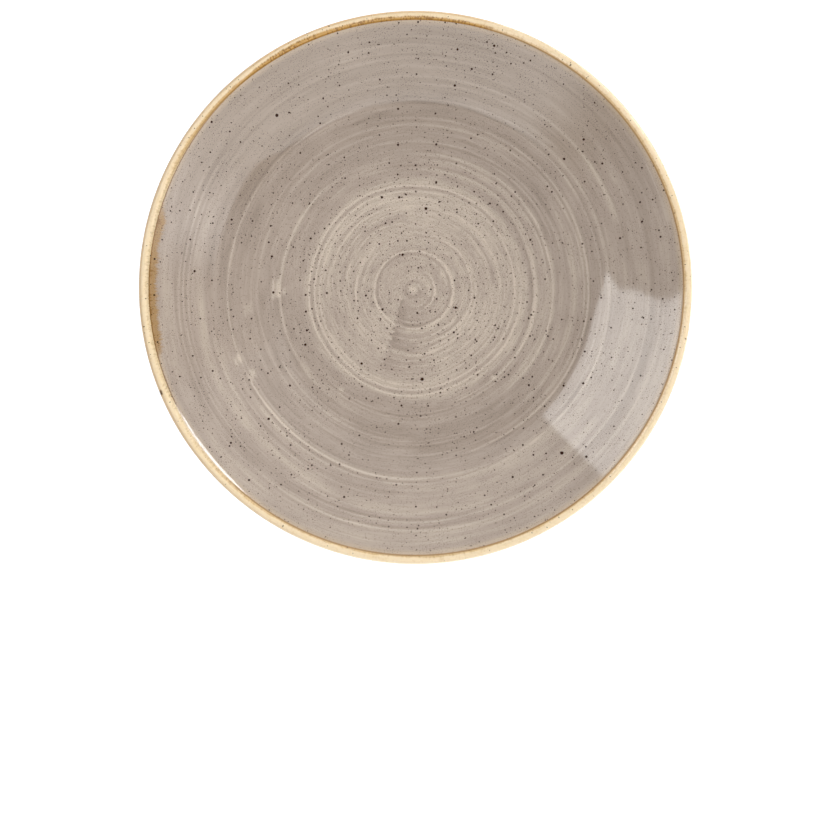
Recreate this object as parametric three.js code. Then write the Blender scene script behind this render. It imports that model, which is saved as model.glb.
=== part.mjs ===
// A deep coupe plate in stoneware: a turned clay body with a full-round lip and a low foot ring,
// coated in four glazes that meet at clean lines. Millimetres, +Z up, the origin at the centre
// of the plane that the foot stands on. Every solid is turned from a stretch of one clay profile.

import * as THREE from 'three';

// Driving dimensions, measured over the glaze where there is one

const PLATE_DIAMETER = 281;
const PLATE_HEIGHT = 41.5;
const LIP_THICKNESS = 4.5;

// The inside: a flat floor that bends up into a straight flared wall
const FLOOR_HEIGHT = 11.5;
const WELL_BEND = 86;
const INSIDE_SLOPE = THREE.MathUtils.degToRad(29.5);

// The underside: steeper than the inside, so the wall thins from the belly to the lip
const UNDERSIDE_LEVEL = 1.2;
const BELLY_BEND = 100;
const OUTSIDE_SLOPE = THREE.MathUtils.degToRad(32.5);

// The foot ring and the recess inside it
const FOOT_DIAMETER = 132;
const FOOT_WIDTH = 5.5;
const FOOT_EDGE = 0.6;
const FOOT_FILLET = 1.2;
const BASE_THICKNESS = 7;
const RECESS_FILLET = 2.5;

// The glazes: the amber band reaches in over the lip and down the outside of it
const GLAZE_THICKNESS = 0.35;
const BOND_GAP = 0.05;
const SEAM_GAP = 0.1;
const RIM_BAND_WIDTH = 4.5;
const RIM_BAND_DROP = 5;

// Facets round the plate, and along each bend of the profile
const SIDES = 60;
const BEND_STEPS = 6;
const LIP_STEPS = 8;
const FILLET_STEPS = 3;

// Colours
const BARE_CLAY = 0xdccdb2;
const FACE_GREY = 0xb2a295;
const RIM_AMBER = 0xe3c690;
const IVORY = 0xebe2d4;

const coat = BOND_GAP + GLAZE_THICKNESS;
const quarterTurn = Math.PI / 2;

// An arc as points, from one angle to another about a centre
function arc(centre, radius, from, to, steps) {
  const points = [];
  for (let step = 0; step <= steps; step += 1) {
    const angle = THREE.MathUtils.lerp(from, to, step / steps);
    points.push(new THREE.Vector2(Math.cos(angle), Math.sin(angle)).multiplyScalar(radius).add(centre));
  }
  return points;
}

// The place on a sloping line through a point, at a given distance from the axis or at a given height
function onLineAtRadius(point, slope, radius) {
  return new THREE.Vector2(radius, point.y + (radius - point.x) * Math.tan(slope));
}

function onLineAtHeight(point, slope, height) {
  return new THREE.Vector2(point.x + (height - point.y) / Math.tan(slope), height);
}

// The centre of a bend that rolls a level surface up into a sloping line
function bendCentre(level, radius, point, slope) {
  const corner = onLineAtHeight(point, slope, level);
  return new THREE.Vector2(corner.x - radius * Math.tan(slope / 2), level + radius);
}

// The lip: a full round that both faces of the wall run into
const lipRadius = LIP_THICKNESS / 2 - coat;
const lipCentre = new THREE.Vector2(
  (PLATE_DIAMETER - LIP_THICKNESS) / 2,
  PLATE_HEIGHT - LIP_THICKNESS / 2,
);
const lip = arc(lipCentre, lipRadius, OUTSIDE_SLOPE - quarterTurn, INSIDE_SLOPE + quarterTurn, LIP_STEPS);
const lipOutside = lip[0];
const lipInside = lip[lip.length - 1];

// The two lines where the amber band ends
const bandOutside = onLineAtHeight(lipOutside, OUTSIDE_SLOPE, PLATE_HEIGHT - RIM_BAND_DROP);
const bandInside = onLineAtRadius(lipInside, INSIDE_SLOPE, PLATE_DIAMETER / 2 - RIM_BAND_WIDTH);

// The face: from the band down the wall, round the well's bend and over the floor to the axis
const floorLevel = FLOOR_HEIGHT - coat;
const wellCentre = bendCentre(floorLevel, WELL_BEND, lipInside, INSIDE_SLOPE);
const wellBend = arc(wellCentre, WELL_BEND, INSIDE_SLOPE - quarterTurn, -quarterTurn, BEND_STEPS);
const face = [bandInside, ...wellBend, new THREE.Vector2(0, floorLevel)];

// The underside: from the foot's fillet round the belly and up the wall to the band
const footRadius = FOOT_DIAMETER / 2;
const bellyCentre = bendCentre(UNDERSIDE_LEVEL + coat, BELLY_BEND, lipOutside, OUTSIDE_SLOPE);
const filletReach = BELLY_BEND + FOOT_FILLET;
const filletTurn = Math.asin((footRadius + FOOT_FILLET - bellyCentre.x) / filletReach);
const filletCentre = new THREE.Vector2(
  footRadius + FOOT_FILLET,
  bellyCentre.y - filletReach * Math.cos(filletTurn),
);
const fillet = arc(filletCentre, FOOT_FILLET, Math.PI, filletTurn + quarterTurn, FILLET_STEPS);
const belly = arc(bellyCentre, BELLY_BEND, filletTurn - quarterTurn, OUTSIDE_SLOPE - quarterTurn, BEND_STEPS);
const underside = [...fillet, ...belly.slice(1), bandOutside];

// The recess inside the foot ring: a level ceiling with a fillet where it meets the ring
const recessRadius = footRadius - FOOT_WIDTH;
const recessLevel = FLOOR_HEIGHT - BASE_THICKNESS + coat;
const recessCorner = new THREE.Vector2(recessRadius - RECESS_FILLET, recessLevel - RECESS_FILLET);
const recess = [
  new THREE.Vector2(0, recessLevel),
  ...arc(recessCorner, RECESS_FILLET, quarterTurn, 0, FILLET_STEPS),
];

// The bare foot that the plate stands on: a flat ring with both edges eased
const innerEdge = new THREE.Vector2(recessRadius + FOOT_EDGE, FOOT_EDGE);
const outerEdge = new THREE.Vector2(footRadius - FOOT_EDGE, FOOT_EDGE);
const foot = [
  ...arc(innerEdge, FOOT_EDGE, Math.PI, Math.PI + quarterTurn, FILLET_STEPS),
  ...arc(outerEdge, FOOT_EDGE, -quarterTurn, 0, FILLET_STEPS),
];

const rim = [bandOutside, ...lip, bandInside];

// The unit vector that points out of the clay from one point of a profile to the next
function outward(from, to) {
  return new THREE.Vector2(to.y - from.y, from.x - to.x).normalize();
}

// A profile moved out of the clay by a distance, so that every facet stays parallel to its own
function raised(points, distance) {
  return points.map((point, index) => {
    const before = points[Math.max(index - 1, 0)];
    const after = points[Math.min(index + 1, points.length - 1)];
    const arriving = index > 0 ? outward(before, point) : outward(point, after);
    const leaving = index < points.length - 1 ? outward(point, after) : arriving;
    const mitre = arriving.clone().add(leaving).normalize();
    return mitre.multiplyScalar(distance / mitre.dot(leaving)).add(point);
  });
}

// A profile with its first or last point drawn back along its own line
function drawnBack(points, first, last) {
  const trimmed = points.map((point) => point.clone());
  const end = points.length - 1;
  const startWay = points[1].clone().sub(points[0]).normalize();
  const endWay = points[end - 1].clone().sub(points[end]).normalize();
  trimmed[0].addScaledVector(startWay, first);
  trimmed[end].addScaledVector(endWay, last);
  return trimmed;
}

// A solid turned from a profile that starts and ends on the axis, or closes on itself
function turned(name, profile, color, roughness) {
  const geometry = new THREE.LatheGeometry(profile, SIDES);
  geometry.rotateX(quarterTurn);
  const material = new THREE.MeshStandardMaterial({ color, roughness, metalness: 0 });
  const mesh = new THREE.Mesh(geometry, material);
  mesh.name = name;
  return mesh;
}

// A glaze on a stretch of the clay: its outer skin, then back along the side that bonds to the clay
function glaze(name, stretch, color, roughness) {
  const skin = raised(stretch, coat);
  const bond = raised(stretch, BOND_GAP).reverse();
  const startsOnAxis = stretch[0].x === 0;
  const endsOnAxis = stretch[stretch.length - 1].x === 0;
  if (startsOnAxis) {
    return turned(name, [...skin, ...bond], color, roughness);
  }
  if (endsOnAxis) {
    return turned(name, [...bond, ...skin], color, roughness);
  }
  return turned(name, [...skin, ...bond, skin[0].clone()], color, roughness);
}

const halfSeam = SEAM_GAP / 2;
const plate = new THREE.Group();
plate.name = 'deep_coupe_plate';
plate.add(
  turned(
    'clay_body',
    [...recess, ...foot, ...underside, ...rim.slice(1), ...face.slice(1)],
    BARE_CLAY,
    0.85,
  ),
  glaze('base_glaze', recess, IVORY, 0.2),
  glaze('underside_glaze', drawnBack(underside, 0, halfSeam), IVORY, 0.2),
  glaze('rim_glaze', drawnBack(rim, halfSeam, halfSeam), RIM_AMBER, 0.25),
  glaze('face_glaze', drawnBack(face, halfSeam, 0), FACE_GREY, 0.2),
);

export default plate;
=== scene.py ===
"""A deep coupe plate in glazed stoneware: the looks of each piece of its CAD frame. Metres, +Z up."""

import math

import bpy
import numpy as np
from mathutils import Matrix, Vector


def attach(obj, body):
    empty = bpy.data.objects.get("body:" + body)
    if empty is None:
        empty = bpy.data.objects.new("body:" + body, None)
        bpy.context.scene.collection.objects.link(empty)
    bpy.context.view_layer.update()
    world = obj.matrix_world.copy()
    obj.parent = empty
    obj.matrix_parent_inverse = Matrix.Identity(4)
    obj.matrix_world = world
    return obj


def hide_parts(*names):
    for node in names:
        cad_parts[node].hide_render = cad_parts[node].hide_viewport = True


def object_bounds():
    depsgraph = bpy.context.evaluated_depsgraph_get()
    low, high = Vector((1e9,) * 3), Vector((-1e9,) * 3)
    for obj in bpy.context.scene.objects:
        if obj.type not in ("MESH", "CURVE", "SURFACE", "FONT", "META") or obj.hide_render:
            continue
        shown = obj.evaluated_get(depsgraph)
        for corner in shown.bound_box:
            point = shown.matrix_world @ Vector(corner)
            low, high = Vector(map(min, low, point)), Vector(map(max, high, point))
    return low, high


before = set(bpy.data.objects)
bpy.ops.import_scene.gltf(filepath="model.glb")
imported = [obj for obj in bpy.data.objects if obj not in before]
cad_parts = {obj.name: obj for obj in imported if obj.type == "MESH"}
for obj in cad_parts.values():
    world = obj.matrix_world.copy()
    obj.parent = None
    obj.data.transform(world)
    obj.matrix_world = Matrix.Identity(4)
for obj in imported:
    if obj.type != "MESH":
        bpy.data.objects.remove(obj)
cad_low, cad_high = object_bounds()
scene = bpy.context.scene

# The clay body
# One pressed stoneware body, turned to a flared wall with a full-round lip, on a low foot ring.
# The glazes hide it everywhere but on the flat ring that the plate stands on, which is left bare.

PLATE_RADIUS = cad_high.x
PLATE_HEIGHT = cad_high.z
LIP_THICKNESS = 0.0045
FLOOR_HEIGHT = 0.0115
WELL_BEND = 0.086
INSIDE_SLOPE = math.radians(29.5)
UNDERSIDE_LEVEL = 0.0012
BELLY_BEND = 0.1
OUTSIDE_SLOPE = math.radians(32.5)
FOOT_RADIUS = 0.066
FOOT_WIDTH = 0.0055
FOOT_EDGE = 0.0006
FOOT_FILLET = 0.0012
BASE_THICKNESS = 0.007
RECESS_FILLET = 0.0025
COAT = 0.0004
QUARTER_TURN = math.pi / 2
MILLIMETRES = 1000.0
LIP_STEPS = 40
WELL_STEPS = 90
BELLY_STEPS = 60
FILLET_STEPS = 12
EDGE_STEPS = 8
SIDES = 360
SHARP_EDGE = math.radians(40)
ON_AXIS = 1e-7


def arc(centre, radius, start, end, steps):
    """An arc as rows of radius and height, from one angle to another about a centre."""
    angle = np.linspace(start, end, steps + 1)
    return np.stack([centre[0] + radius * np.cos(angle), centre[1] + radius * np.sin(angle)], axis=1)


def at_radius(point, slope, radius):
    """The place on a sloping line through a point, at a distance from the axis."""
    return np.array([radius, point[1] + (radius - point[0]) * math.tan(slope)])


def at_height(point, slope, height):
    """The place on a sloping line through a point, at a height."""
    return np.array([point[0] + (height - point[1]) / math.tan(slope), height])


def bend_centre(level, radius, point, slope):
    """The centre of a bend that rolls a level surface up into a sloping line."""
    corner = at_height(point, slope, level)
    return np.array([corner[0] - radius * math.tan(slope / 2), level + radius])


def outward(profile):
    """At each point of a profile, the mitred step that moves it out of the clay by a unit."""
    way = np.diff(profile, axis=0)
    way /= np.linalg.norm(way, axis=1, keepdims=True)
    out = np.stack([way[:, 1], -way[:, 0]], axis=1)
    arriving = np.vstack([out[:1], out])
    leaving = np.vstack([out, out[-1:]])
    mitre = arriving + leaving
    mitre /= np.linalg.norm(mitre, axis=1, keepdims=True)
    return mitre / np.sum(mitre * leaving, axis=1, keepdims=True)


def turned(name, profile, sides, closed=False, lift=None, marks=None):
    """A mesh turned from a profile; lift moves its points out, and marks are kept on them."""
    rows = np.repeat(profile[:, None, :], sides, axis=1)
    if lift is not None:
        rows = rows + outward(profile)[:, None, :] * lift[:, :, None]
    turn = np.arange(sides) * math.tau / sides
    points = []
    kept = []
    rings = []
    for index, row in enumerate(rows):
        count = 1 if row[:, 0].max() < ON_AXIS else sides
        rings.append(len(points) + np.arange(sides) % count)
        ring = np.stack([row[:, 0] * np.cos(turn), row[:, 0] * np.sin(turn), row[:, 1]], axis=1)
        points.extend(ring[:count].tolist())
        if marks is not None:
            kept.extend(marks[index, :count].tolist())
    if closed:
        rings.append(rings[0])
    faces = []
    for near, far in zip(rings, rings[1:]):
        corners = np.stack([near, np.roll(near, -1), np.roll(far, -1), far], axis=1)
        faces.extend(list(dict.fromkeys(face)) for face in corners.tolist())
    mesh = bpy.data.meshes.new(name)
    mesh.from_pydata(points, [], faces)
    if marks is not None:
        mesh.attributes.new("brush", "FLOAT", "POINT").data.foreach_set("value", kept)
    mesh.shade_smooth()
    mesh.set_sharp_from_angle(angle=SHARP_EDGE)
    piece = bpy.data.objects.new(name, mesh)
    scene.collection.objects.link(piece)
    return piece


lip_centre = np.array([PLATE_RADIUS - LIP_THICKNESS / 2, PLATE_HEIGHT - LIP_THICKNESS / 2])
lip_start = OUTSIDE_SLOPE - QUARTER_TURN
lip_end = INSIDE_SLOPE + QUARTER_TURN
lip = arc(lip_centre, LIP_THICKNESS / 2 - COAT, lip_start, lip_end, LIP_STEPS)
well_centre = bend_centre(FLOOR_HEIGHT - COAT, WELL_BEND, lip[-1], INSIDE_SLOPE)
well = np.vstack([
    arc(well_centre, WELL_BEND, INSIDE_SLOPE - QUARTER_TURN, -QUARTER_TURN, WELL_STEPS),
    [[0, FLOOR_HEIGHT - COAT]],
])
belly_centre = bend_centre(UNDERSIDE_LEVEL + COAT, BELLY_BEND, lip[0], OUTSIDE_SLOPE)
fillet_reach = BELLY_BEND + FOOT_FILLET
fillet_turn = math.asin((FOOT_RADIUS + FOOT_FILLET - belly_centre[0]) / fillet_reach)
fillet_centre = (FOOT_RADIUS + FOOT_FILLET, belly_centre[1] - fillet_reach * math.cos(fillet_turn))
belly = np.vstack([
    arc(fillet_centre, FOOT_FILLET, math.pi, fillet_turn + QUARTER_TURN, FILLET_STEPS)[:-1],
    arc(belly_centre, BELLY_BEND, fillet_turn - QUARTER_TURN, OUTSIDE_SLOPE - QUARTER_TURN, BELLY_STEPS),
])
recess_radius = FOOT_RADIUS - FOOT_WIDTH
recess_level = FLOOR_HEIGHT - BASE_THICKNESS + COAT
recess_corner = (recess_radius - RECESS_FILLET, recess_level - RECESS_FILLET)
recess_fillet = arc(recess_corner, RECESS_FILLET, QUARTER_TURN, 0, FILLET_STEPS)
recess = np.vstack([[[0, recess_level]], recess_fillet])
inner_corner = (recess_radius + FOOT_EDGE, FOOT_EDGE)
outer_corner = (FOOT_RADIUS - FOOT_EDGE, FOOT_EDGE)
foot = np.vstack([
    arc(inner_corner, FOOT_EDGE, math.pi, math.pi + QUARTER_TURN, EDGE_STEPS),
    arc(outer_corner, FOOT_EDGE, -QUARTER_TURN, 0, EDGE_STEPS),
])
clay_body = turned("stoneware_body", np.vstack([recess, foot, belly, lip, well]), SIDES)


class Tone:
    """One socket of a material; Python's operators on it add Math nodes."""

    def __init__(self, tree, socket=None):
        self.tree = tree
        self.socket = socket

    def node(self, kind, settings=None, sockets=None, output=0):
        """Adds a node: its settings first, then values or links for its sockets."""
        made = self.tree.nodes.new(kind)
        for name, value in (settings or {}).items():
            setattr(made, name, value)
        for name, value in (sockets or {}).items():
            if isinstance(value, Tone):
                self.tree.links.new(value.socket, made.inputs[name])
            else:
                made.inputs[name].default_value = value
        return Tone(self.tree, made.outputs[output] if made.outputs else None)

    def other(self, output):
        """Another output of the same node."""
        return Tone(self.tree, self.socket.node.outputs[output])

    def maths(self, operation, *values):
        return self.node("ShaderNodeMath", {"operation": operation}, dict(enumerate((self, *values))))

    def reflected(self, operation, first):
        return self.node("ShaderNodeMath", {"operation": operation}, {0: first, 1: self})

    def __add__(self, other):
        return self.maths("ADD", other)

    __radd__ = __add__

    def __sub__(self, other):
        return self.maths("SUBTRACT", other)

    def __rsub__(self, other):
        return self.reflected("SUBTRACT", other)

    def __mul__(self, other):
        return self.maths("MULTIPLY", other)

    __rmul__ = __mul__

    def __truediv__(self, other):
        return self.maths("DIVIDE", other)

    def __rtruediv__(self, other):
        return self.reflected("DIVIDE", other)

    def __pow__(self, other):
        return self.maths("POWER", other)

    def __neg__(self):
        return self * -1.0

    def at_most(self, limit):
        return self.maths("MINIMUM", limit)

    def at_least(self, limit):
        return self.maths("MAXIMUM", limit)

    def swing(self, amount):
        """Noise about 0.5 turned into a swing about 0."""
        return (self - 0.5) * amount

    def eased(self, low, high):
        """0 up to low, 1 from high on, and a smooth step between them; low may be the higher."""
        ends = {"Value": self, "From Min": low, "From Max": high}
        return self.node("ShaderNodeMapRange", {"interpolation_type": "SMOOTHSTEP"}, ends)

    def blend(self, first, second):
        """The first colour where this is 0 and the second where it is 1."""
        return self.node("ShaderNodeMix", {"data_type": "RGBA"}, {0: self, 6: first, 7: second}, 2)

    def noise(self, where, scale, detail=2.0, roughness=0.5):
        """Smooth noise about 0.5, at a scale in features per unit of where."""
        sockets = {"Vector": where, "Scale": scale, "Detail": detail, "Roughness": roughness}
        return self.node("ShaderNodeTexNoise", {"noise_dimensions": "3D"}, sockets)

    def vector(self, x, y, z):
        return self.node("ShaderNodeCombineXYZ", None, {0: x, 1: y, 2: z})

    def place(self):
        """Where the surface is on the plate, in millimetres."""
        where = self.node("ShaderNodeTexCoord", output="Object")
        scale = {0: where, "Scale": MILLIMETRES}
        return self.node("ShaderNodeVectorMath", {"operation": "SCALE"}, scale)


STAIN_ROUGHNESS = 0.6
STAIN_SHINE = 0.1


def srgb(red, green, blue):
    """A colour read as 8-bit display values, made linear."""
    light = [value / 255 for value in (red, green, blue)]
    light = [value / 12.92 if value <= 0.04045 else ((value + 0.055) / 1.055) ** 2.4 for value in light]
    return (*light, 1.0)


def painted(name):
    """A new material with nothing in it, and the empty tone that its nodes are added through."""
    material = bpy.data.materials.new(name)
    material.use_nodes = True
    material.node_tree.nodes.clear()
    return material, Tone(material.node_tree)


def surfaced(paint, colour, roughness, height, depth, stain=0.0, stain_colour=None):
    """Ends a material: its colour, roughness and fine relief, and a dull stain in places."""
    relief = paint.node("ShaderNodeBump", None, {"Height": height, "Distance": depth})
    sockets = {"Base Color": colour, "Roughness": roughness, "Normal": relief}
    shader = paint.node("ShaderNodeBsdfPrincipled", None, sockets)
    if stain_colour:
        dull = {
            "Base Color": stain_colour,
            "Roughness": STAIN_ROUGHNESS,
            "Specular IOR Level": STAIN_SHINE,
        }
        stained = paint.node("ShaderNodeBsdfPrincipled", None, dull)
        shader = paint.node("ShaderNodeMixShader", None, {0: stain, 1: shader, 2: stained})
    paint.node("ShaderNodeOutputMaterial", None, {"Surface": shader})


CLAY = srgb(220, 205, 178)
CLAY_DUST = srgb(196, 178, 148)
CLAY_IRON = srgb(120, 92, 66)
SMOOTH_DETAIL = 1.0
CLOUDY_DETAIL = 3.0
GRAINY_DETAIL = 4.0
GRAIN_SCALE = 2.4
GRAIN_ROUGHNESS = 0.65
GRAIN_SHARE = 0.4
CLAY_CLOUD_SCALE = 0.12
CLAY_CLOUD_SHARE = 0.6
SANDY = (0.35, 0.68)
IRON_SCALE = 1.7
IRON_SPOTS = (0.72, 0.78)
CLAY_ROUGHNESS = 0.75
CLAY_ROUGHER = 0.2
CLAY_RELIEF = 0.00008

bare_clay, paint = painted("bare_clay")
place = paint.place()
grain = paint.noise(place, GRAIN_SCALE, GRAINY_DETAIL, GRAIN_ROUGHNESS)
clay_cloud = paint.noise(place, CLAY_CLOUD_SCALE, CLOUDY_DETAIL)
iron_spots = paint.noise(place, IRON_SCALE, SMOOTH_DETAIL).eased(*IRON_SPOTS)
sandy = (clay_cloud * CLAY_CLOUD_SHARE + grain * GRAIN_SHARE).eased(*SANDY)
colour = iron_spots.blend(sandy.blend(CLAY_DUST, CLAY), CLAY_IRON)
surfaced(paint, colour, grain * CLAY_ROUGHER + CLAY_ROUGHNESS, grain, CLAY_RELIEF)
clay_body.data.materials.append(bare_clay)
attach(clay_body, "root")
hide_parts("clay_body")

# The amber rim
# A band of amber glaze wiped over the lip. It is cream on the crown and pale outside, with a mottled
# gold stripe below the lip. It pools to a gold and brown line along the grey, and has iron burns.
# Below the crown the outer lip has painted shade mixed with amber, most on the dark side.

RIM_BAND_WIDTH = 0.0045
RIM_BAND_DROP = 0.005
GLAZE_THICKNESS = 0.00035
BEAD_HEIGHT = 0.0002
BEAD_INSIDE = 0.0007
BEAD_FLAT = 0.8
BEAD_OUTSIDE = 0.001
RIM_RING = 0.00015


def spaced(profile, step, fine_run=0.0, fine_step=1.0):
    """The same profile with its points a near even step apart, and closer over a first run of it."""
    run = np.concatenate([[0], np.cumsum(np.linalg.norm(np.diff(profile, axis=0), axis=1))])
    near = np.linspace(0, fine_run, math.ceil(fine_run / fine_step) + 1)
    far = np.linspace(fine_run, run[-1], math.ceil((run[-1] - fine_run) / step) + 1)
    at = np.concatenate([near[:-1], far])
    return np.stack([np.interp(at, run, profile[:, 0]), np.interp(at, run, profile[:, 1])], axis=1)


def smooth(value, low, high):
    """0 up to low, 1 from high on, and a smooth step between."""
    part = np.clip((value - low) / (high - low), 0, 1)
    return part * part * (3 - 2 * part)


def bead(radius, inside=BEAD_INSIDE):
    """How far the glaze stands up in a bead along the band's inner edge, highest where glazes meet."""
    edge = PLATE_RADIUS - RIM_BAND_WIDTH
    part = np.clip((radius - edge + inside) / inside, 0, 1)
    rise = part * (BEAD_FLAT + (1 - BEAD_FLAT) * part)
    return BEAD_HEIGHT * rise * (1 - smooth(radius, edge, edge + BEAD_OUTSIDE))


def coated(name, stretch, sides, extra=0.0):
    """A glaze on a stretch of the clay: its skin, and back along the side that bonds to the clay."""
    step = outward(stretch)
    skin = stretch + step * (COAT + np.reshape(extra, (-1, 1)))
    bond = stretch + step * (COAT - GLAZE_THICKNESS)
    closed = stretch[0, 0] > ON_AXIS
    return turned(name, np.vstack([skin, bond[::-1]]), sides, closed)


band_outside = at_height(lip[0], OUTSIDE_SLOPE, PLATE_HEIGHT - RIM_BAND_DROP)
band_inside = at_radius(lip[-1], INSIDE_SLOPE, PLATE_RADIUS - RIM_BAND_WIDTH)
inside_edge = spaced(np.array([lip[-1], band_inside]), RIM_RING)
rim = np.vstack([[band_outside], lip, inside_edge[1:]])
rim_bead = np.where(np.arange(len(rim)) > len(lip), bead(rim[:, 0]), 0.0)
amber_rim = coated("amber_rim", rim, SIDES, rim_bead)

# Colours of the glaze, from thin to thick; the edge colour is partly amber and partly painted shade
RIM_PALE = srgb(246, 231, 196)
RIM_CREAM = srgb(240, 219, 184)
RIM_STRAW = srgb(235, 211, 166)
RIM_EDGE_AMBER_AND_SHADE = srgb(198, 168, 130)
RIM_AMBER = srgb(207, 169, 119)
RIM_HONEY = srgb(222, 183, 108)
RIM_GOLD = srgb(192, 147, 76)
RIM_UMBER = srgb(164, 128, 78)
RIM_BROWN = srgb(124, 84, 32)
RIM_BURN = srgb(70, 42, 20)
RIM_ROUGHNESS = 0.08
RIM_RELIEF = 0.00002

# Sides of the plate: a bearing in degrees from its right, and the cosines where each begins and is full
DARK_SIDE = (160.1, -0.25, 0.75)
BRIGHT_SIDE = (216.87, 0.975, 0.992)
BACK_SIDE = (100.0, 0.87, 0.93)
GOLD_SIDE = (29.9, 0.598, 0.947)
UPPER_LEFT = (129.73, 0.839, 0.969)
LEFT_SIDE = (180.0, 0.6, 0.95)

# Noise: how often it changes round the plate and round the lip, and how far it moves the soft edges
DRIFT_TURNS = 4.0
DRIFT_WANDER = 1.2
STREAK_TURNS = (130.0, 1.2)
STREAK_WANDER = 0.5
WASH_TURNS = (24.0, 0.8)
WASH_WANDER = 0.8
LIP_NOISE_ROUGHNESS = 0.6

# Soft edges: round the lip in radians up from its outermost line, and across the band in millimetres
STRIPE_TOP = (0.15, -0.2)
STRIPE_TOP_WANDER = 0.5
STRIPE_TOP_DIP = 0.3
STRIPE_FOOT = (-1.02, -0.72)
STRIPE_FOOT_WANDER = 0.4
CROWN_EDGE = (1.35, 0.8)
OUTSIDE_EDGE = (0.85, 0.5)
OUTSIDE_WANDER = 0.35
GOLD_WIDTH = 1.12
GOLD_WIDER_BACK = 0.45
GOLD_WIDER_UPPER_LEFT = 0.3
GOLD_WIDER_RIGHT = 0.2
GOLD_WANDER = 1.2
GOLD_EDGE = (1.3, 0.7)
LINE_EDGE = (0.65, 0.25)
LINE_WANDER = 0.2

# How strongly each colour is laid over the last
WASHED = (0.4, 0.7)
STRAW_SHARE = 0.5
CROWN_SHARE = 0.25
DARK_CROWN_SHARE = 0.85
BACK_CROWN_SHARE = 0.55
MOTTLED = (0.42, 0.62)
MOTTLE_SHARE = 0.5
MOTTLE_DARK = 0.35
STRIPE_SHARE = 0.9
GOLD_SHARE = 0.5
GOLD_MORE_BACK = 0.5
GOLD_MORE_UPPER_LEFT = 0.4
GOLD_LESS_LEFT = 0.38
LINE_SHARE = 0.62
LINE_LESS_BACK = 0.12
LINE_LESS_BRIGHT = 0.5
LINE_LESS_LEFT = 0.45
STREAKED = (0.5, 0.72)
STREAK_SHARE = 0.3
FLECKED = (0.5, 0.58)
FLECK_FRONT = 0.25
FLECK_BACK = 0.75
FLECK_SHARE = 0.75

# Burns: the cell that each lies in, the smallest and largest radius, and the share of cells that have one
BURNS = (
    (2.6, 0.12, 0.24, 0.3),
    (5.5, 0.18, 0.4, 0.3),
    (16.0, 0.35, 0.75, 0.4),
)
BURN_STRETCH = 1.3
BURN_RAGGED = 1.4
BURN_EDGE = (1.15, 0.7)
BURN_SHARE = 0.9
BLOT_BEARING = math.radians(-157.5)
BLOT_LENGTH = 1.5
BLOT_UP_LIP = 0.8
BLOT_NARROW = 2.6
BLOT_RAGGED = 2.2
BLOT_UNEVEN = 1.2
BLOT_EDGE = (1.5, 0.8)
BLOT_EDGE_SHARE = 0.6
BLOT_MIDDLE = (0.85, 0.5)
BLOT_MIDDLE_SHARE = 0.8
NEAR_AXIS = 0.001
PRESENT = (0.005, -0.005)


def around(place):
    """Where a place is about the plate's axis, in millimetres: its x, its y and its radius."""
    x = place.node("ShaderNodeSeparateXYZ", None, {0: place})
    y = x.other("Y")
    return x, y, (x * x + y * y) ** 0.5 + NEAR_AXIS


def side(east, north, bearing, low, high):
    """How far a place lies on one side of the plate, with a soft edge."""
    angle = math.radians(bearing)
    return (north * math.sin(angle) + east * math.cos(angle)).eased(low, high)


def dots(paint, where, cell, small, large, share):
    """Dots in a share of the cells: how far off each is in its own sizes, and whether it is there."""
    sockets = {"Vector": where, "Scale": 1.0 / cell}
    cells = paint.node("ShaderNodeTexVoronoi", {"voronoi_dimensions": "2D"}, sockets)
    chance = paint.node("ShaderNodeSeparateColor", None, {0: cells.other("Color")})
    size = chance.other("Green") ** 2.0 * (large - small) + small
    return cells * cell / size, (chance - share).eased(*PRESENT)


amber_glaze, paint = painted("amber_glaze")
x, y, radius = around(paint.place())
over_lip = x.other("Z") - lip_centre[1] * MILLIMETRES
round_lip = over_lip.maths("ARCTAN2", radius - lip_centre[0] * MILLIMETRES)
east = x / radius
north = y / radius


def lip_noise(round_plate, round_the_lip):
    """Noise that changes so often round the plate and round the lip."""
    where = paint.vector(east * round_plate, north * round_plate, round_lip * round_the_lip)
    return paint.noise(where, 1.0, CLOUDY_DETAIL, LIP_NOISE_ROUGHNESS)


drift = paint.noise(paint.vector(east, north, 0.0), DRIFT_TURNS, CLOUDY_DETAIL)
streak = lip_noise(*STREAK_TURNS)
wash = lip_noise(*WASH_TURNS)
wander = drift.swing(DRIFT_WANDER) + wash.swing(WASH_WANDER) + streak.swing(STREAK_WANDER)
dark_side = side(east, north, *DARK_SIDE)
bright_side = side(east, north, *BRIGHT_SIDE)
back_side = side(east, north, *BACK_SIDE)
gold_side = side(east, north, *GOLD_SIDE)
upper_left = side(east, north, *UPPER_LEFT)
left_side = side(east, north, *LEFT_SIDE)

stripe_top = round_lip + wander * STRIPE_TOP_WANDER - dark_side * STRIPE_TOP_DIP
stripe_foot = round_lip + wander * STRIPE_FOOT_WANDER
stripe = stripe_top.eased(*STRIPE_TOP) * stripe_foot.eased(*STRIPE_FOOT)
leaning = round_lip + wander * OUTSIDE_WANDER
crown_edge = leaning.eased(*CROWN_EDGE)
outside = leaning.eased(*OUTSIDE_EDGE)
across_band = radius - (PLATE_RADIUS - RIM_BAND_WIDTH) * MILLIMETRES
gold_width = back_side * GOLD_WIDER_BACK + upper_left * GOLD_WIDER_UPPER_LEFT + gold_side * GOLD_WIDER_RIGHT
gold_width = gold_width + wander * GOLD_WANDER + GOLD_WIDTH
inner_gold = (across_band / gold_width).eased(*GOLD_EDGE)
inner_line = (across_band + wander * LINE_WANDER).eased(*LINE_EDGE)

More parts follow.
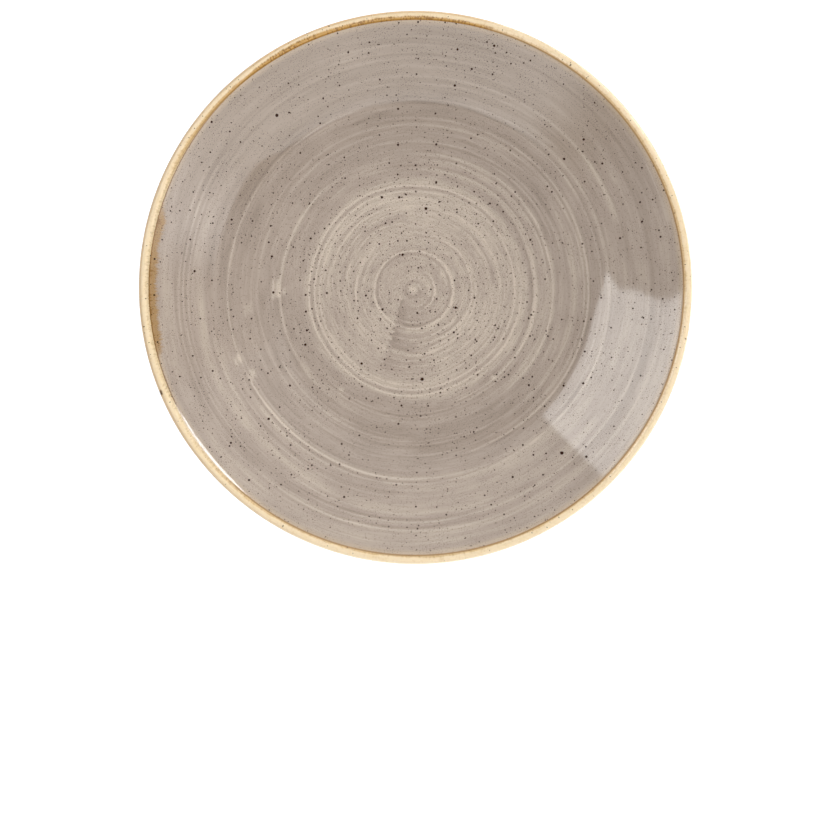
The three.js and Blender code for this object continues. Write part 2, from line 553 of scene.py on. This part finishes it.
colour = (wash.eased(*WASHED) * STRAW_SHARE).blend(RIM_CREAM, RIM_STRAW)
# Painted shade with some amber: the outer lip below the crown is darker, a little all round and most on the
# dark side
colour = (crown_edge * CROWN_SHARE).blend(colour, RIM_EDGE_AMBER_AND_SHADE)
colour = outside.blend(colour, RIM_PALE)
colour = (crown_edge * dark_side * DARK_CROWN_SHARE).blend(colour, RIM_EDGE_AMBER_AND_SHADE)
colour = (crown_edge * back_side * BACK_CROWN_SHARE).blend(colour, RIM_AMBER)
mottle = streak.eased(*MOTTLED) * MOTTLE_SHARE + dark_side * MOTTLE_DARK
colour = (stripe * STRIPE_SHARE).blend(colour, mottle.blend(RIM_HONEY, RIM_GOLD))
gold_share = GOLD_SHARE + back_side * GOLD_MORE_BACK + upper_left * GOLD_MORE_UPPER_LEFT
gold_share = (gold_share - left_side * GOLD_LESS_LEFT).at_most(1.0)
colour = (inner_gold * gold_share).blend(colour, RIM_GOLD)
line_share = LINE_SHARE - back_side * LINE_LESS_BACK - bright_side * LINE_LESS_BRIGHT
line_share = (line_share - left_side * LINE_LESS_LEFT).at_least(0.0)
colour = (inner_line * line_share).blend(colour, RIM_BROWN)
colour = (streak.eased(*STREAKED) * STREAK_SHARE).blend(colour, RIM_AMBER)
flecks = streak.eased(*FLECKED) * inner_gold * (FLECK_FRONT + back_side * FLECK_BACK)
colour = (flecks * FLECK_SHARE).blend(colour, RIM_BROWN)

along_lip = y.maths("ARCTAN2", x) * lip_centre[0] * MILLIMETRES
on_lip = paint.vector(along_lip, round_lip * BURN_STRETCH, 0.0)
for burn_cell in BURNS:
    off_burn, burned = dots(paint, on_lip, *burn_cell)
    burn = (off_burn + streak.swing(BURN_RAGGED)).eased(*BURN_EDGE)
    colour = (burn * burned * BURN_SHARE).blend(colour, RIM_BURN)
blot_along = (along_lip - BLOT_BEARING * lip_centre[0] * MILLIMETRES) / BLOT_LENGTH
blot_round = (round_lip - BLOT_UP_LIP) * BLOT_NARROW
blot = (blot_along * blot_along + blot_round * blot_round) ** 0.5
blot = blot + streak.swing(BLOT_RAGGED) + wash.swing(BLOT_UNEVEN)
colour = (blot.eased(*BLOT_EDGE) * BLOT_EDGE_SHARE).blend(colour, RIM_BROWN)
colour = (blot.eased(*BLOT_MIDDLE) * BLOT_MIDDLE_SHARE).blend(colour, RIM_BURN)
surfaced(paint, colour, RIM_ROUGHNESS, streak, RIM_RELIEF)
amber_rim.data.materials.append(amber_glaze)
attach(amber_rim, "root")
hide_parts("rim_glaze")

# The ivory underside and base
# Plain ivory glaze, dipped on: one coat from the foot's fillet up to the amber band, and one in the
# recess inside the foot. It is thin at the foot and has a faint cloud and a few pinholes.

IVORY = srgb(243, 234, 218)
IVORY_CLOUD = srgb(238, 227, 207)
IVORY_THIN = srgb(216, 200, 172)
PINHOLE = srgb(150, 128, 100)
IVORY_CLOUD_SCALE = 0.035
IVORY_CLOUDED = (0.35, 0.7)
THIN_BELOW = (2.6, 1.2)
THIN_UNEVEN = 1.5
PIT_SCALE = 0.12
PIT_SIZE = (0.22, 0.1)
PIT_RARE = (0.6, 0.62)
PIT_SHARE = 0.7
RIPPLE_SCALE = 0.3
IVORY_ROUGHNESS = 0.1
IVORY_ROUGHER = 0.06
IVORY_RELIEF = 0.00006

ivory_underside = coated("ivory_underside", np.vstack([belly, [band_outside]]), SIDES)
ivory_base = coated("ivory_base", recess, SIDES)

ivory_glaze, paint = painted("ivory_glaze")
place = paint.place()
height = place.node("ShaderNodeSeparateXYZ", None, {0: place}, "Z")
ivory_cloud = paint.noise(place, IVORY_CLOUD_SCALE, CLOUDY_DETAIL)
ripple = paint.noise(place, RIPPLE_SCALE)
pits = paint.node("ShaderNodeTexVoronoi", {"feature": "F1"}, {"Vector": place, "Scale": PIT_SCALE})
pit_chance = paint.node("ShaderNodeSeparateColor", None, {0: pits.other("Color")})
pit = (pits / PIT_SCALE).eased(*PIT_SIZE) * pit_chance.eased(*PIT_RARE)
colour = ivory_cloud.eased(*IVORY_CLOUDED).blend(IVORY, IVORY_CLOUD)
colour = (height + ivory_cloud * THIN_UNEVEN).eased(*THIN_BELOW).blend(colour, IVORY_THIN)
colour = (pit * PIT_SHARE).blend(colour, PINHOLE)
surfaced(paint, colour, ivory_cloud * IVORY_ROUGHER + IVORY_ROUGHNESS, ripple, IVORY_RELIEF)
for piece, node in ((ivory_underside, "underside_glaze"), (ivory_base, "base_glaze")):
    piece.data.materials.append(ivory_glaze)
    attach(piece, "root")
    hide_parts(node)

# The grey face
# Warm grey glaze laid on with a loaded brush while the plate spun: rings of light and dark drags, low
# ridges, a swirl at the middle and the step where the brush was lifted. Iron specks come through it.

FACE_RING = 0.00042
BEAD_RING = 0.00012
BEAD_RUN = 0.003
BOND_RING = 0.006
FACE_SIDES = 480
WALL_SAG = 0.00024
WALL_SAG_FROM = 0.098
WIDE_BEAD = 0.00175
WIDE_BEAD_TURN = 218.5
WIDE_BEAD_REACH = 30.0
BRUSH_RELIEF = 0.00002
BRUSH_OFF_CENTRE = (-0.0013, -0.0004)
BRUSH_SEED = 21
SET_DOWN = 8.0
LIFT_OFF = 40.0
WOBBLE = 0.35
WOBBLE_FROM = (8, 40)
WOBBLE_WAVES = (1, 2, 3, 5)

stretch = np.vstack([[band_inside], well])
skin = spaced(stretch + outward(stretch) * COAT, FACE_RING, BEAD_RUN, BEAD_RING)
bond = spaced(stretch + outward(stretch) * (COAT - GLAZE_THICKNESS), BOND_RING)
turn = np.arange(FACE_SIDES) * math.tau / FACE_SIDES
off_centre = 1 - skin[:, :1] / PLATE_RADIUS
brush_x = skin[:, :1] * np.cos(turn) - BRUSH_OFF_CENTRE[0] * off_centre
brush_y = skin[:, :1] * np.sin(turn) - BRUSH_OFF_CENTRE[1] * off_centre
reach = np.hypot(brush_x, brush_y) * MILLIMETRES
angle = np.arctan2(brush_y, brush_x)
hand = np.random.default_rng(BRUSH_SEED)
for waves in WOBBLE_WAVES:
    reach += WOBBLE * smooth(reach, *WOBBLE_FROM) * np.sin(waves * angle + hand.uniform(0, math.tau))
brush = np.zeros_like(reach)


def drag(ring, width, strength, start, sweep, spiral=0.0, set_down=SET_DOWN, lift_off=LIFT_OFF, flat=1):
    """One drag of the brush, in millimetres and degrees, that fades as the brush runs dry."""
    along = (np.degrees(angle) - start) % 360
    ends = smooth(along, 0, set_down) * (1 - smooth(along, sweep - lift_off, sweep))
    across = (reach - ring - spiral * along / 360) / width
    return strength * np.exp(-np.abs(across) ** (2 * flat)) * ends


# Drags with soft sides: ring, width, strength, start and sweep, and for one what a flat drag has next
SOFT_DRAGS = (
    (54.4, 0.4, 0.85, 40, 330),
    (51.3, 0.4, 0.65, 70, 350),
    (48.8, 0.5, 0.45, 90, 200),
    (52.9, 0.6, -0.5, 30, 340),
    (60.7, 0.45, 0.5, 285, 120),
    (20.2, 0.5, 0.7, 255, 350),
    (18.8, 0.6, -0.6, 250, 345),
    (11.2, 0.5, 0.6, 300, 130),
    (9.9, 0.5, -0.4, 290, 140),
    (28.4, 0.6, -0.4, 290, 190),
    (29.6, 0.5, 0.45, 285, 160),
    (40.5, 0.7, -0.5, 0, 75),
    (81.2, 0.6, 0.34, 100, 160),
    (96.0, 0.7, 0.22, 120, 130),
    (71.0, 0.5, 0.5, 20, 90),
    (22.3, 0.5, 0.4, 246, 85),
    (25.6, 0.5, 0.34, 247, 95),
    (33.4, 0.5, 0.42, 247, 110),
    (36.3, 0.5, 0.36, 246, 120),
    (39.4, 0.5, 0.34, 245, 100),
    (97.6, 2.2, 0.24, 98, 44),
    (99.4, 1.9, 0.2, 130, 40, 0, 8, 10),
    (91.0, 5.5, -0.26, 148, 52),
    (83.0, 7.0, -0.2, 265, 70),
    (104.0, 5.0, -0.22, 215, 70),
)

# Drags with flat middles: the same, then a spiral and the runs where the brush is set down and lifted
FLAT_DRAGS = (
    (91.3, 2.6, -0.26, 84, 42, 0, 14, 10),
    (88.0, 7.5, -0.22, 120, 46, 85, 10, 14),
    (108.5, 3.4, -0.28, 136, 48, 0, 14, 14),
    (113.0, 7.0, -0.15, 50, 80, 0, 16, 16),
    (71.0, 10.0, -0.19, 245, 85, 0, 25, 30),
    (76.0, 13.0, 0.13, 318, 80, 0, 20, 20),
    (92.6, 1.8, -0.18, 140, 45, 0, 10, 12),
    (118.0, 12.0, 0.16, 172, 50, 0, 12, 15),
    (70.0, 9.0, 0.13, 10, 85, 0, 25, 25),
    (85.0, 4.5, 0.14, 350, 55, 0, 15, 20),
    (94.0, 4.5, -0.14, 40, 55, 0, 15, 20),
    (128.0, 5.0, 0.14, 210, 70, 0, 15, 20),
    (128.0, 5.0, 0.15, 312, 50, 0, 15, 15),
)

for soft_drag in SOFT_DRAGS:
    brush += drag(*soft_drag)
for flat_drag in FLAT_DRAGS:
    brush += drag(*flat_drag, flat=2)

# Strokes by hand: between two rings, how many, how strong their hairs are and how much the paint varies
STROKE_ZONES = (
    (5.0, 50.0, 22, 0.6, 0.09),
    (57.0, 97.0, 15, 0.68, 0.1),
    (95.0, 134.0, 20, 0.52, 0.17),
)
STROKE_WIDTH = (1.5, 5.5)
STROKE_SWEEP = (70, 260)
STROKE_SPIRAL = 3.0
HAIR_SPREAD = 1.1
HAIR_WIDTH = (0.38, 0.7)
HAIR_STRENGTH = (0.12, 0.6)
HAIR_RUN = (0.25, 1.0)
HAIR_START = 8
HAIR_BESIDE = 2.1
HAIR_SHADE = -0.55
HAIR_LIFT = 0.6
SPARE_HAIRS = 2

for inner, outer, strokes, force, body in STROKE_ZONES:
    for _ in range(strokes):
        stroke = hand.uniform(inner, outer)
        width = hand.uniform(*STROKE_WIDTH)
        start = hand.uniform(0, 360)
        sweep = hand.uniform(*STROKE_SWEEP)
        spiral = hand.normal(0, STROKE_SPIRAL)
        brush += drag(stroke, width, hand.normal(0, body), start, sweep, spiral, flat=2)
        for _ in range(int(width) + SPARE_HAIRS):
            hair = stroke + hand.uniform(-HAIR_SPREAD, HAIR_SPREAD) * width
            thin = hand.uniform(*HAIR_WIDTH)
            strength = force * hand.uniform(*HAIR_STRENGTH)
            dry = sweep * hand.uniform(*HAIR_RUN)
            wet = start + hand.normal(0, HAIR_START)
            beside = hair + hand.choice((-1, 1)) * thin * HAIR_BESIDE
            lift = dry * HAIR_LIFT
            brush += drag(hair, thin, strength, wet, dry, spiral, lift_off=lift)
            brush += drag(beside, thin, strength * HAIR_SHADE, wet, dry, spiral, lift_off=lift)

# Where the brush was lifted and left a short thick mark, painted pale as a highlight: ring, start, length
# and strength
GLINTING_STROKE_ENDS = (
    (70.8, 173.0, 11.0, 1.1),
    (67.4, 178.0, 5.0, 0.6),
    (96.8, 199.5, 4.0, 1.0),
    (93.3, 205.0, 4.5, 0.9),
    (85.5, 183.0, 6.0, 0.5),
    (61.0, 310.0, 4.0, 0.7),
    (63.5, 232.0, 4.0, 0.6),
)
END_WIDTH = 1.2
END_SET_DOWN = 0.5
END_LIFT = 1.6
SIDE_MARK_OFF = 2.2
SIDE_MARK_LATE = 1
SIDE_MARK_WIDTH = 0.7
SIDE_MARK_STRENGTH = 0.7
SIDE_MARK_SET_DOWN = 0.4

# Each mark and the one beside it is a low ridge, and its light tone is a painted highlight
for ring, start, sweep, strength in GLINTING_STROKE_ENDS:
    brush += drag(ring, END_WIDTH, strength, start, sweep, set_down=sweep * END_SET_DOWN, lift_off=END_LIFT)
    brush += drag(
        ring + SIDE_MARK_OFF,
        SIDE_MARK_WIDTH,
        strength * SIDE_MARK_STRENGTH,
        start + SIDE_MARK_LATE,
        sweep,
        set_down=sweep * SIDE_MARK_SET_DOWN,
        lift_off=END_LIFT,
    )

# The swirl at the middle: a dark fan behind a ragged light edge, and a dab on the axis with a ring round it
SWIRL_TURN = 247
SWIRL_CURL = 22
SWIRL_CURL_FROM = 9
SWIRL_CURL_FADE = 8
SWIRL_TOOTH = 1.9
SWIRL_TEETH = 2.2
SWIRL_FINE_TOOTH = 4.3
SWIRL_FINE_TEETH = 1.4
SWIRL_FINE_PHASE = 1.0
SWIRL_RAGGED = (9, 14)
SWIRL_INSIDE = (5, 9)
SWIRL_OUTSIDE = (30, 44)
FAN_DARK = 0.5
FAN_FADE = 20
FAN_WIDE_DARK = 0.36
FAN_WIDE_FADE = 60
EDGE_LIGHT = 0.4
EDGE_LIGHT_FADE = 2.5
EDGE_LIGHT_TEETH = (-0.2, 0.9)
DAB_LIGHT = 1.2
DAB_RADIUS = 1.6
DAB_RING_DARK = 0.5
DAB_RING_RADIUS = 3.9
DAB_RING_WIDTH = 1.1

teeth = np.sin(reach * SWIRL_TOOTH)
ragged = SWIRL_TEETH * teeth + SWIRL_FINE_TEETH * np.sin(reach * SWIRL_FINE_TOOTH + SWIRL_FINE_PHASE)
edge_turn = SWIRL_TURN - SWIRL_CURL * np.exp((SWIRL_CURL_FROM - reach) / SWIRL_CURL_FADE)
past_edge = (np.degrees(angle) - edge_turn - ragged * smooth(reach, *SWIRL_RAGGED)) % 360
swirl = smooth(reach, *SWIRL_INSIDE) * (1 - smooth(reach, *SWIRL_OUTSIDE))
fan = FAN_DARK * np.exp(-past_edge / FAN_FADE) + FAN_WIDE_DARK * np.exp(-past_edge / FAN_WIDE_FADE)
edge_light = EDGE_LIGHT * np.exp((past_edge - 360) / EDGE_LIGHT_FADE) * smooth(teeth, *EDGE_LIGHT_TEETH)
brush += (edge_light - fan) * swirl
brush += DAB_LIGHT * np.exp(-((reach / DAB_RADIUS) ** 2))
brush -= DAB_RING_DARK * np.exp(-(((reach - DAB_RING_RADIUS) / DAB_RING_WIDTH) ** 2))

no_brush = np.zeros((len(bond), FACE_SIDES))
off_bead = np.abs((np.degrees(turn) - WIDE_BEAD_TURN + 180) % 360 - 180)
bead_inside = BEAD_INSIDE + (WIDE_BEAD - BEAD_INSIDE) * (1 - smooth(off_bead, 0, WIDE_BEAD_REACH))
up_wall = np.clip((skin[:, :1] - WALL_SAG_FROM) / (skin[0, 0] - WALL_SAG_FROM), 0, 1)
sag = WALL_SAG * (np.cos(math.tau * up_wall) - 1) / 2
grey_face = turned(
    "grey_face",
    np.vstack([bond[::-1], skin]),
    FACE_SIDES,
    lift=np.vstack([no_brush, brush * BRUSH_RELIEF + bead(skin[:, :1], bead_inside) + sag]),
    marks=np.vstack([no_brush, brush]),
)

# Colours of the glaze with a warm grey for painted shade, and the stretches of the face in millimetres from
# the axis
GREY = srgb(174, 159, 146)
GREY_LIGHT = srgb(204, 190, 174)
GREY_DARK = srgb(144, 130, 118)
GREY_WARM_SHADE = srgb(142, 124, 104)
SPECK = srgb(48, 21, 10)
WARM_EDGE = srgb(222, 196, 160)
FACE_ROUGHNESS = 0.06
FACE_RELIEF = 0.000012
DISC = (59.5, 55.0)
DISC_RIM = (12.0, 46.0)
BEND_START = (68.0, 80.0)
BEND_END = (104.0, 96.0)
WALL = (92.0, 104.0)
BACK_WALL = (95.0, 0.3, 0.8)
BACK_WALL_WARM_SHADE = 0.42

# Rings of noise: their spacing in millimetres, and how often they change along the way round
PATCH_SCALE = 0.022
PATCH_SWAY = 4.0
FINE_RINGS = (0.6, 7.0)
MIDDLE_RINGS = (2.0, 4.0)
WIDE_RINGS = (4.6, 3.2)
BROAD_RINGS = (8.0, 2.4)

# How strongly each shows, from dark to light, and what it gains on the disc and on the wall
BRUSH_SHOWS = 0.5
FINE_SHOWS = 0.42
FINE_ON_DISC = 0.18
FINE_ON_WALL = -0.08
MIDDLE_SHOWS = 0.38
MIDDLE_ON_WALL = -0.06
BROAD_SHOWS = 0.26
BROAD_ON_WALL = 0.26
WIDE_ON_WALL = 0.34
PATCH_SHOWS = 0.26
DISC_LIGHTER = 0.16
DISC_RIM_LIGHTER = 0.07
WALL_SHADE_NORTH = 0.07
BEND_DARKER = 0.08
ALL_DARKER = 0.025
FULL_TONE = 0.5

grey_glaze, paint = painted("grey_glaze")
place = paint.place()
x, y, radius = around(place)
east = x / radius
north = y / radius
patch = paint.noise(place, PATCH_SCALE)
swayed = radius + patch.swing(PATCH_SWAY)
brushed = paint.node("ShaderNodeAttribute", {"attribute_name": "brush"}, None, "Fac")


def rings(spacing, turns):
    """Noise drawn out into rings: a spacing across them, and how often they change along the way."""
    return paint.noise(paint.vector(swayed / spacing, east * turns, north * turns), 1.0)


fine = rings(*FINE_RINGS)
middle = rings(*MIDDLE_RINGS)
wide = rings(*WIDE_RINGS)
broad = rings(*BROAD_RINGS)
disc = radius.eased(*DISC)
bend = radius.eased(*BEND_START) * radius.eased(*BEND_END)
wall = radius.eased(*WALL)
tone = brushed * BRUSH_SHOWS
tone = tone + fine.swing(disc * FINE_ON_DISC + wall * FINE_ON_WALL + FINE_SHOWS)
tone = tone + middle.swing(wall * MIDDLE_ON_WALL + MIDDLE_SHOWS)
tone = tone + broad.swing(wall * BROAD_ON_WALL + BROAD_SHOWS)
tone = tone + wide.swing(wall * WIDE_ON_WALL) + patch.swing(PATCH_SHOWS)
tone = tone + disc * (radius.eased(*DISC_RIM) * DISC_RIM_LIGHTER + DISC_LIGHTER)
# Painted shade: the wall gets darker towards the back; the bend and the whole face are also a little darker
tone = tone - wall * north * WALL_SHADE_NORTH - bend * BEND_DARKER - ALL_DARKER
colour = (-tone / FULL_TONE).at_least(0.0).at_most(1.0).blend(GREY, GREY_DARK)
colour = (tone / FULL_TONE).at_least(0.0).at_most(1.0).blend(colour, GREY_LIGHT)
# More painted shade on the back of the wall, in a warmer grey that is partly the glaze's own tint
shaded_back_wall = side(east, north, *BACK_WALL) * wall
colour = (shaded_back_wall * BACK_WALL_WARM_SHADE).blend(colour, GREY_WARM_SHADE)

# Specks: as the rim's burns, and how dark each size is; they gather in places and crowd the middle
SPECKS = (
    (0.8, 0.1, 0.19, 0.85, 0.56),
    (2.3, 0.16, 0.31, 0.34, 1.0),
    (5.0, 0.27, 0.48, 0.38, 1.0),
    (9.5, 0.44, 0.66, 0.24, 1.0),
    (36.0, 0.78, 1.0, 0.12, 1.0),
)
SPECK_EDGE = (1.15, 0.85)
SPECK_RAGGED = 0.7
SPECK_RAGGED_SCALE = 1.3
GATHER_SCALE = 0.075
GATHERED = (0.32, 0.68)
GATHER_LEAST = 0.5
CROWD_MIDDLE = (85.0, 48.0)
CROWD_LEAST = 0.75
CROWD_MORE = 0.8

flat_place = paint.vector(x, y, 0.0)
speck_edge = paint.noise(place, SPECK_RAGGED_SCALE).swing(SPECK_RAGGED)
gather = paint.noise(place, GATHER_SCALE, SMOOTH_DETAIL).eased(*GATHERED) + GATHER_LEAST
crowd = (radius.eased(*CROWD_MIDDLE) * CROWD_MORE + CROWD_LEAST) * gather
iron = 0.0
for cell, small, large, share, depth in SPECKS:
    off_speck, specked = dots(paint, flat_place, cell, small, large, crowd * share)
    iron = ((off_speck + speck_edge).eased(*SPECK_EDGE) * specked * depth).at_least(iron)

# Next to the rim: a warm edge, amber that has run in on the left, and the line where the glazes overlap
WARM_EDGE_REACH = (132.4, 136.2)
WARM_EDGE_SHARE = 0.36
HAIR_RINGS = (3.0, 170.0)
CLUMP_RINGS = (60.0, 18.0)
SMEAR_WEST = (-0.925, -0.97)
SMEAR_SOUTH = (-0.34, -0.2)
SMEAR_NORTH = (0.4, 0.26)
SMEAR_HAIRS = 4.0
SMEAR_CLUMPS = 4.0
SMEAR_ENDS = 5.0
SMEAR_REACH = (130.6, 133.0)
SMEAR_SHARE = 0.85
THICK_CLUMPS = 5.0
THICK_HAIRS = 2.0
THICK_REACH = (134.2, 136.6)
THICK_SHARE = 0.6
OVERLAP_RADIUS = 136.0
OVERLAP_LEFT = 0.8
OVERLAP_HAIRS = 0.5
OVERLAP_LINE = (-0.5, 0.0)
OVERLAP_LINE_SHARE = 0.75
OVERLAP_STRAW = (0.1, 0.6)

colour = (radius.eased(*WARM_EDGE_REACH) * WARM_EDGE_SHARE).blend(colour, WARM_EDGE)
hairs = rings(*HAIR_RINGS)
clumps = rings(*CLUMP_RINGS)
smear_side = east.eased(*SMEAR_WEST) * north.eased(*SMEAR_SOUTH) * north.eased(*SMEAR_NORTH)
run_in = radius + hairs.swing(SMEAR_HAIRS) + clumps.swing(SMEAR_CLUMPS) - (1.0 - smear_side) * SMEAR_ENDS
smear = run_in.eased(*SMEAR_REACH) * smear_side
colour = (smear * SMEAR_SHARE).blend(colour, RIM_UMBER)
thick = (run_in + clumps.swing(THICK_CLUMPS) + hairs.swing(THICK_HAIRS)).eased(*THICK_REACH) * smear_side
colour = (thick * THICK_SHARE).blend(colour, RIM_BROWN)
overlap = radius - OVERLAP_RADIUS + hairs.swing(OVERLAP_HAIRS)
overlap = overlap + side(east, north, *LEFT_SIDE) * OVERLAP_LEFT
colour = (overlap.eased(*OVERLAP_LINE) * OVERLAP_LINE_SHARE).blend(colour, RIM_BROWN)
colour = overlap.eased(*OVERLAP_STRAW).blend(colour, RIM_STRAW)
surfaced(paint, colour, FACE_ROUGHNESS, fine + middle, FACE_RELIEF, iron, SPECK)
grey_face.data.materials.append(grey_glaze)
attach(grey_face, "root")
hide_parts("face_glaze")

# The studio
# A white floor that keeps a soft shadow, deepened by a painted shadow under the plate, in a pale room
# with a window on the left, softer light from the front and the back, and a bright strip low at the
# back right. The camera looks straight down.

FLOOR_SIZE = 24.0
FLOOR_WHITE = (0.9, 0.9, 0.9, 1.0)
FLOOR_SHADE = (0.65, 0.68, 0.73, 1.0)
FLOOR_FILL = (0.97, 0.985, 1.0, 1.0)
FILL_STRENGTH = 0.62
PAINTED_SHADOW_FILL = 0.38
UNDER_PLATE = (128.0, 84.0)

bpy.ops.mesh.primitive_plane_add(size=FLOOR_SIZE)
floor = bpy.context.object
floor.name = "floor"
floor_white, paint = painted("floor_white")
seen = paint.node("ShaderNodeLightPath", None, None, "Is Camera Ray")
seen = seen.at_least(seen.other("Is Glossy Ray")).at_least(seen.other("Is Transmission Ray"))
plain = paint.node("ShaderNodeBsdfDiffuse", None, {"Color": FLOOR_WHITE})
shadowed = paint.node("ShaderNodeBsdfDiffuse", None, {"Color": FLOOR_SHADE})
*_, radius = around(paint.place())
# Painted shadow: the white fill is dimmer under the plate, which deepens its real shadow there
lit = paint.node("ShaderNodeEmission", None, {"Color": FLOOR_FILL, "Strength": FILL_STRENGTH})
dim = paint.node("ShaderNodeEmission", None, {"Color": FLOOR_FILL, "Strength": PAINTED_SHADOW_FILL})
fill = paint.node("ShaderNodeMixShader", None, {0: radius.eased(*UNDER_PLATE), 1: lit, 2: dim})
white = paint.node("ShaderNodeAddShader", None, {0: shadowed, 1: fill})
surface = paint.node("ShaderNodeMixShader", None, {0: seen, 1: plain, 2: white})
paint.node("ShaderNodeOutputMaterial", None, {"Surface": surface})
floor.data.materials.append(floor_white)

# The room's lights, in degrees above the floor and round from the plate's right or left, and their strength
ROOM_WHITE = (1.0, 1.0, 1.0, 1.0)
ROOM_GLOW = 0.21
WINDOW_GLOW = 4.6
WINDOW_START = (-47.5, -46.0)
WINDOW_END = (-2.9, -3.6)
WINDOW_LEAN = 0.7
WINDOW_LEAN_FROM = 35.0
WINDOW_SILL = (29.0, 31.0)
WINDOW_TOP = 50.8
WINDOW_TOP_DROP = 8.0
WINDOW_TOP_BEND = (-13.0, 6.0)
WINDOW_BLUR = 0.7
FRONT_GLOW = 1.65
FRONT_UPPER_GLOW = 0.65
FRONT_UPPER = (28.0, 32.0)
FRONT_TOP = 47.8
FRONT_TOP_LEAST = 38.0
FRONT_FALL = 0.021
FRONT_FALL_FROM = 58.0
FRONT_START = (-125.0, -95.0)
FRONT_END = (2.0, -14.0)
FRONT_WING = (-142.0, -122.0)
FRONT_WING_SILL = (26.0, 29.0)
LAMP_BLUR = 0.3
STRIP_GLOW = 14.0
STRIP_MIDDLE = 39.8
STRIP_HALF = 13.2
STRIP_TOP = 28.5
STRIP_TOP_CURVE = 14.0
STRIP_FOOT = 15.0
STRIP_FOOT_CURVE = 4.0
BACK_GLOW = 0.7
BACK_TOP = 71.0
BACK_FALL = 0.27
BACK_FALL_FROM = 55.0
BACK_START = (20.0, 28.0)
BACK_END = (142.0, 126.0)
BACK_BLUR = 2.0
SIDE_GLOW = 0.15
SIDE_GLOW_AT = (215.0, 30.0, 25.0, 50.0)
OVERHEAD_GLOW = 0.2
OVERHEAD_GLOW_AT = (0.0, 90.0, 16.0, 28.0)

room = bpy.data.worlds.new("white_room")
scene.world = room
room.use_nodes = True
room.node_tree.nodes.clear()
paint = Tone(room.node_tree)
way = paint.node("ShaderNodeTexCoord", output="Generated")
x = paint.node("ShaderNodeSeparateXYZ", None, {0: way})
y = x.other("Y")
above = x.other("Z").maths("ARCSINE") * math.degrees(1.0)
from_right = y.maths("ARCTAN2", x) * math.degrees(1.0)
from_left = (-y).maths("ARCTAN2", -x) * math.degrees(1.0)
seen = paint.node("ShaderNodeLightPath", None, None, "Is Camera Ray")


def below(limit, blur):
    """1 under a height in the room and 0 over it, with a soft edge."""
    return (above - limit).eased(blur, -blur)


def towards(azimuth, elevation, near, far):
    """1 within an angle of a direction in the room, and 0 from a wider angle on."""
    azimuth = math.radians(azimuth)
    elevation = math.radians(elevation)
    level = math.cos(elevation)
    aim = (level * math.cos(azimuth), level * math.sin(azimuth), math.sin(elevation))
    facing = paint.node("ShaderNodeVectorMath", {"operation": "DOT_PRODUCT"}, {0: way, 1: aim}, "Value")
    return facing.eased(math.cos(math.radians(far)), math.cos(math.radians(near)))


window_top = WINDOW_TOP - from_left.eased(*WINDOW_TOP_BEND) * WINDOW_TOP_DROP
window_end = (from_left - (above - WINDOW_LEAN_FROM) * WINDOW_LEAN).eased(*WINDOW_END)
window = from_left.eased(*WINDOW_START) * window_end * above.eased(*WINDOW_SILL)
window = window * below(window_top, WINDOW_BLUR)

front_fall = (from_right + FRONT_FALL_FROM).at_least(0.0)
front_top = (FRONT_TOP - front_fall * front_fall * FRONT_FALL).at_least(FRONT_TOP_LEAST)
front_wing = from_right.eased(*FRONT_WING) * above.eased(*FRONT_WING_SILL)
front = from_right.eased(*FRONT_START).at_least(front_wing) * from_right.eased(*FRONT_END)
front = front * below(front_top, LAMP_BLUR) * (above.eased(*FRONT_UPPER) * FRONT_UPPER_GLOW + FRONT_GLOW)

strip_across = (from_right - STRIP_MIDDLE) / STRIP_HALF
strip_out = strip_across * strip_across
strip_top = STRIP_TOP - strip_out * STRIP_TOP_CURVE
strip_foot = STRIP_FOOT - strip_out * STRIP_FOOT_CURVE
strip = below(strip_top, LAMP_BLUR) * (1.0 - below(strip_foot, LAMP_BLUR))

back_top = BACK_TOP - (from_right - BACK_FALL_FROM) * BACK_FALL
back = below(back_top, BACK_BLUR) * from_right.eased(*BACK_START) * from_right.eased(*BACK_END)

glow = ROOM_GLOW + window * WINDOW_GLOW + front + strip * STRIP_GLOW + back * BACK_GLOW
glow = glow + towards(*SIDE_GLOW_AT) * SIDE_GLOW + towards(*OVERHEAD_GLOW_AT) * OVERHEAD_GLOW
strength = glow + (1.0 - glow) * seen
light = paint.node("ShaderNodeBackground", None, {"Color": ROOM_WHITE, "Strength": strength})
paint.node("ShaderNodeOutputWorld", None, {"Surface": light})

CAMERA_ABOVE = 2.0
PIXELS_PER_METRE = 1972.0
PICTURE_SIZE = 830.0
PLATE_ABOVE_MIDDLE = 127.7
PLATE_RIGHT_OF_MIDDLE = 0.5
SENSOR = 36.0

eye = bpy.data.cameras.new("eye")
eye.sensor_width = SENSOR
eye.lens = PIXELS_PER_METRE * CAMERA_ABOVE / PICTURE_SIZE * SENSOR
camera = bpy.data.objects.new("eye", eye)
scene.collection.objects.link(camera)
camera_right = -PLATE_RIGHT_OF_MIDDLE / PIXELS_PER_METRE
camera_back = -PLATE_ABOVE_MIDDLE / PIXELS_PER_METRE
camera.location = (camera_right, camera_back, PLATE_HEIGHT + CAMERA_ABOVE)
scene.camera = camera
scene.view_settings.view_transform = "Standard"
